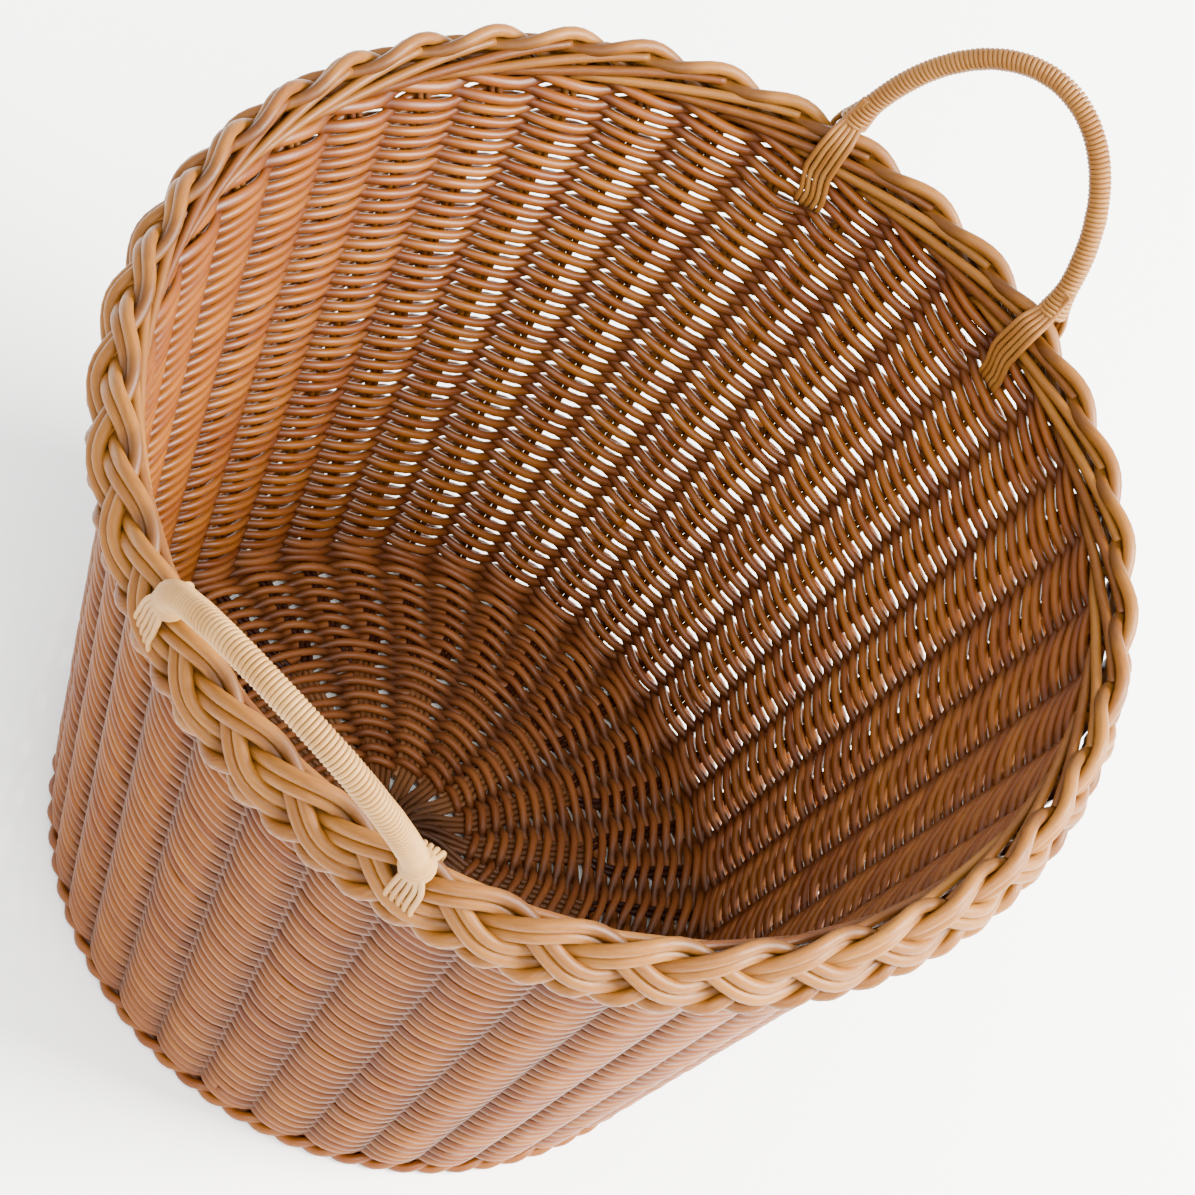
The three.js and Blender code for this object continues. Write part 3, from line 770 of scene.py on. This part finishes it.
def plait():
    rng = np.random.default_rng(51)
    n = STAKES * PLAIT_STEPS
    turn = PLAIT_STRANDS * 2 * math.pi * np.arange(n) / n
    phase = STAKES / PLAIT_STRANDS * turn
    through = -PLAIT_DEEP * np.sin(2 * phase)
    out, up = off_plait(PLAIT_WIDE * np.sin(phase), through)
    middle = around(PLAIT_RADIUS + out, -turn, PLAIT_HEIGHT + up)
    face_out, face_up = off_plait(0, 1)
    normals = around(face_out, -turn, face_up)
    tone_at = np.arange(0, n + PLAIT_TONE_STEPS, PLAIT_TONE_STEPS)
    painted_shade = PLAIT_SHADE * smooth(-through / PLAIT_DEEP)
    rods = []
    for line in side_by_side(middle, normals, PLAIT_ROD * PLAIT_PRESSED, closed=True):
        changes = rng.uniform(-1, 1, PLAIT_TONES)[:len(tone_at)]
        tone = PLAIT_TONE + PLAIT_TONE_CHANGE * np.interp(np.arange(n), tone_at, changes)
        rods.append(strand(line, normals, PLAIT_ROD / 2, tone, painted_shade, sides=12, closed=True))
    return build("border_plait", rods, BORDER)


stands_for([plait()], "border_braid")

# Handles: a bent rod, a thin strand wound round it, and two bundles of strands at each leg

HANDLE_ROD = {"a": 6.2, "b": 7.8}  # the rod inside the winding
HANDLE_ROD_FOOT = 0.5            # heights over the legs' ends where the rod and the winding start
WINDING_FOOT = 8.5
ROD_POINTS = 60
ROD_TONE = 0.6
# painted shade on the rod, which lies inside the winding
HANDLE_ROD_SHADE = 0.3
ARCH_STEPS = 1200                # for measuring along an arch
WINDING_PACKING = 0.95           # from turn to turn, in thicknesses of its strand
WINDING_OUT = 0.7                # from the rod to the winding's middle, in radii of its strand
WINDING_FLAT = 0.8
LOOP_STEPS = 16
UNEVEN = 0.05                    # how far the winding strays from the rod, and over how many points
UNEVEN_STEPS = 40
FLARE = 1.7                      # how much the winding swells at its foot, over the strands of the bundle
FLARE_LENGTH = 15.0
FLARE_POWER = 1.5
WINDING_TONE = 0.4
SLOW_TONE = 0.15                 # how much the tone changes over a few turns, and from turn to turn
SLOW_TONE_LOOPS = 6
QUICK_TONE = 0.08
BUNDLE_STRANDS = 5
BUNDLE_GAP = 0.12
BUNDLE_WANDER = 0.05
LEG_INWARD = 2.6                 # a leg bends this far towards the handle's middle as it rises
LEG_BENDS_FROM = 4.0             # from this height over the border's centre line, and over how much
LEG_BENDS_OVER = 24.0
BUNDLE_STEPS = 6                 # between the knots of a bundle
BUNDLE_LOOKS_UP = 0.6            # slant of the direction across its strands
BUNDLE_TONES = (0.1, 0.8)
TUCKED_POINTS = 8                # painted shade darkens a strand over its last points, where it is tucked in
TUCKED_SHADE = 0.8

# Knots of the bundles: out from the border's centre line, up from it, share of the full spread. One bundle
# goes over the border and down the inside, and one down the outside.
INNER_KNOTS = [(4.6, 26.0, 0.5), (2.4, 20.5, 0.55), (-0.6, 16.0, 0.68), (-4.2, 13.2, 0.85),
               (-8.2, 10.4, 0.96), (-11.0, 5.4, 1.0), (-12.8, -1.5, 1.02), (-14.0, -8.0, 1.02),
               (-14.6, -15.0, 1.0), (-14.6, -20.5, 0.98), (-12.0, -25.0, 0.95)]
OUTER_KNOTS = [(7.4, 20.0, 0.45), (7.6, 15.0, 0.6), (7.7, 10.0, 0.85), (7.4, 5.0, 1.0), (7.2, -0.5, 1.05),
               (7.4, -6.0, 1.05), (6.6, -11.0, 1.0), (3.4, -14.0, 0.9)]
handle_rng = np.random.default_rng(61)


def arch(handle, angle):
    """Points of a handle's middle line in its own frame: across from leg to leg, and up."""
    power = 2 / handle["fullness"]
    across_legs = np.sign(np.cos(angle)) * np.abs(np.cos(angle)) ** power
    height = HANDLE_HEIGHT * np.sin(angle) ** power
    return np.stack([0 * angle, -handle["span"] / 2 * across_legs, height], axis=1)


def even_arch(handle, height, count):
    """Points evenly spaced along the arch above a height, with the distance along."""
    low = math.asin((height / HANDLE_HEIGHT) ** (handle["fullness"] / 2))
    fine = np.linspace(low, math.pi - low, ARCH_STEPS)
    length = lengths(arch(handle, fine))
    wanted = np.linspace(0, length[-1], count)
    return arch(handle, np.interp(wanted, length, fine)), wanted


def tilted(handle, vectors):
    """Coordinates of vectors in a handle's frame, after its tilt."""
    c, s = math.cos(handle["tilt"]), math.sin(handle["tilt"])
    x = vectors[:, 0] * c + vectors[:, 2] * s
    return x, vectors[:, 1], -vectors[:, 0] * s + vectors[:, 2] * c


def to_basket(handle, points, vector=False):
    """From a handle's frame to the basket's. Vector is true for directions, which have no place."""
    x, y, z = tilted(handle, points)
    x = x + (0 if vector else math.sqrt(LEG_RADIUS ** 2 - (handle["span"] / 2) ** 2))
    z = z + (0 if vector else LEG_BOTTOM)
    c, s = math.cos(handle["turn"]), math.sin(handle["turn"])
    return np.stack([x * c - y * s, x * s + y * c, z], axis=1)


def handle_rod(letter):
    handle = HANDLES[letter]
    points, _ = even_arch(handle, HANDLE_ROD_FOOT, ROD_POINTS)
    normals = np.tile([1.0, 0, 0], (ROD_POINTS, 1))
    rod = strand(to_basket(handle, points), to_basket(handle, normals, True), HANDLE_ROD[letter] / 2,
                 ROD_TONE, HANDLE_ROD_SHADE, sides=12)
    return build(f"handle_{letter}_rods", [rod], HANDLE_CANE[letter])


def winding(letter):
    handle = HANDLES[letter]
    loops = int(even_arch(handle, WINDING_FOOT, 2)[1][-1] / (WRAP_STRAND * WINDING_PACKING))
    count = LOOP_STEPS * loops
    middle, length = even_arch(handle, WINDING_FOOT, count)
    x = np.tile([1.0, 0, 0], (count, 1))
    y = np.cross(tangents_of(middle), x)
    angle = 2 * math.pi * np.arange(count) / LOOP_STEPS
    out = x * np.cos(angle)[:, None] + y * np.sin(angle)[:, None]
    from_end = np.minimum(length, length[-1] - length)
    flare = FLARE * (1 - smooth(from_end / FLARE_LENGTH)) ** FLARE_POWER
    uneven = wander(count, UNEVEN_STEPS, UNEVEN, handle_rng)
    reach = HANDLE_ROD[letter] / 2 + WINDING_OUT * WRAP_STRAND / 2 + flare + uneven
    tone = (WINDING_TONE + wander(count, LOOP_STEPS * SLOW_TONE_LOOPS, SLOW_TONE, handle_rng)
            + wander(count, LOOP_STEPS, QUICK_TONE, handle_rng))
    line = strand(to_basket(handle, middle + out * reach[:, None]), to_basket(handle, out, True),
                  WRAP_STRAND / 2, np.clip(tone, 0, 1), 0, sides=6, flat=WINDING_FLAT)
    return build(f"handle_{letter}_winding", [line], HANDLE_CANE[letter])


def bundle_strand(knots, turn, way, i):
    """Strand i of a bundle at a leg."""
    out, round_it = outward_and_round(turn)
    aside = (i - (BUNDLE_STRANDS - 1) / 2) * (LASHING_STRAND + BUNDLE_GAP)
    rows = []
    for away, up, spread in knots:
        inward = -way * LEG_INWARD * smooth((up - LEG_BENDS_FROM) / LEG_BENDS_OVER)
        uneven = handle_rng.normal(0, BUNDLE_WANDER)
        point = out * (RIM_RADIUS + away) + round_it * (aside * spread + inward + uneven)
        rows.append([point[0], point[1], RIM_HEIGHT + up])
    line = curve_through(rows, BUNDLE_STEPS)
    normals = np.tile(out, (len(line), 1)) * (-1 if knots is INNER_KNOTS else 1) + [0, 0, BUNDLE_LOOKS_UP]
    normals /= np.linalg.norm(normals, axis=1)[:, None]
    painted_shade = np.zeros(len(line))
    painted_shade[-TUCKED_POINTS:] = np.linspace(0, TUCKED_SHADE, TUCKED_POINTS)
    return strand(line, normals, LASHING_STRAND / 2, handle_rng.uniform(*BUNDLE_TONES), painted_shade)


def bundles(letter, end, way):
    turn = leg_turn(HANDLES[letter], way)
    parts = [bundle_strand(knots, turn, way, i)
             for knots in (INNER_KNOTS, OUTER_KNOTS) for i in range(BUNDLE_STRANDS)]
    return build(f"handle_{letter}_bundle_{end}", parts, HANDLE_CANE[letter])


for letter in HANDLES:
    stands_for([handle_rod(letter)], f"handle_{letter}_core")
    stands_for([winding(letter)], f"handle_{letter}_wrap")
    for end, way in (("left", 1), ("right", -1)):
        stands_for([bundles(letter, end, way)], f"handle_{letter}_lashing_{end}")

# Camera, at the photograph's angle. Lengths are in metres from here on.

CAMERA_TURN = math.radians(-76.4)  # from the frame that the camera was fitted in to the part's
CAMERA_RISE = 0.9251             # radians over the floor
CAMERA_ROLL = 0.6152
CAMERA_DISTANCE = 1.70
AIM = (0.01316, 0.0, 0.22674)    # in the frame that it was fitted in
FOCAL = 134.6                    # millimetres, as is the sensor's width
SENSOR = 36.0
CLIP_NEAR = 0.05
CLIP_FAR = 50


def turned(v):
    c, s = math.cos(CAMERA_TURN), math.sin(CAMERA_TURN)
    return Vector((v[0] * c - v[1] * s, v[0] * s + v[1] * c, v[2]))


def add_camera():
    back = turned((0, -math.cos(CAMERA_RISE), math.sin(CAMERA_RISE)))
    level = Vector((0, 0, 1)).cross(back).normalized()
    square = back.cross(level)
    c, s = math.cos(CAMERA_ROLL), math.sin(CAMERA_ROLL)
    right = c * level + s * square
    up = -s * level + c * square
    at = turned(AIM) + CAMERA_DISTANCE * back
    data = bpy.data.cameras.new("camera")
    data.sensor_width = SENSOR
    data.sensor_fit = "HORIZONTAL"
    data.lens = FOCAL
    data.clip_start = CLIP_NEAR
    data.clip_end = CLIP_FAR
    camera = bpy.data.objects.new("camera", data)
    camera.matrix_world = Matrix(((right[0], up[0], back[0], at[0]), (right[1], up[1], back[1], at[1]),
                                  (right[2], up[2], back[2], at[2]), (0, 0, 0, 1)))
    bpy.context.scene.collection.objects.link(camera)
    bpy.context.scene.camera = camera


add_camera()

# Floor and light

FLOOR_HALF = 6.0
FLOOR_COLOUR = (0.95, 0.95, 0.94, 1)
FLOOR_ROUGHNESS = 0.9
SKY_COLOUR = (1.0, 1.0, 1.0, 1)
SKY_STRENGTH = 2.6
LIGHT_AIM = (0, 0, 0.2)          # the lights' angles are in degrees
KEY = {"azimuth": 302, "elevation": 36, "distance": 3.0, "size": 1.4, "power": 720,
       "colour": (1.0, 0.97, 0.92)}
FILL = {"azimuth": 225, "elevation": 55, "distance": 3.2, "size": 2.4, "power": 210,
        "colour": (1.0, 0.98, 0.95)}


def add_floor():
    half = FLOOR_HALF
    mesh = bpy.data.meshes.new("floor")
    corners = [(-half, -half, 0), (half, -half, 0), (half, half, 0), (-half, half, 0)]
    mesh.from_pydata(corners, [], [(0, 1, 2, 3)])
    paint = bpy.data.materials.new("floor paint")
    paint.use_nodes = True
    shader = paint.node_tree.nodes["Principled BSDF"]
    shader.inputs["Base Color"].default_value = FLOOR_COLOUR
    shader.inputs["Roughness"].default_value = FLOOR_ROUGHNESS
    mesh.materials.append(paint)
    floor = bpy.data.objects.new("floor", mesh)
    bpy.context.scene.collection.objects.link(floor)


def add_light(name, light):
    """A square light that faces the basket from an azimuth and an elevation in degrees."""
    a, e = math.radians(light["azimuth"]), math.radians(light["elevation"])
    away = Vector((math.cos(e) * math.cos(a), math.cos(e) * math.sin(a), math.sin(e)))
    data = bpy.data.lights.new(name, "AREA")
    data.shape = "SQUARE"
    data.size = light["size"]
    data.energy = light["power"]
    data.color = light["colour"]
    lamp = bpy.data.objects.new(name, data)
    lamp.location = Vector(LIGHT_AIM) + light["distance"] * away
    lamp.rotation_euler = away.to_track_quat("Z", "Y").to_euler()
    bpy.context.scene.collection.objects.link(lamp)


def add_sky():
    world = bpy.data.worlds.new("world")
    world.use_nodes = True
    sky = world.node_tree.nodes["Background"]
    sky.inputs["Color"].default_value = SKY_COLOUR
    sky.inputs["Strength"].default_value = SKY_STRENGTH
    bpy.context.scene.world = world


add_floor()
add_light("key", KEY)
add_light("fill", FILL)
add_sky()
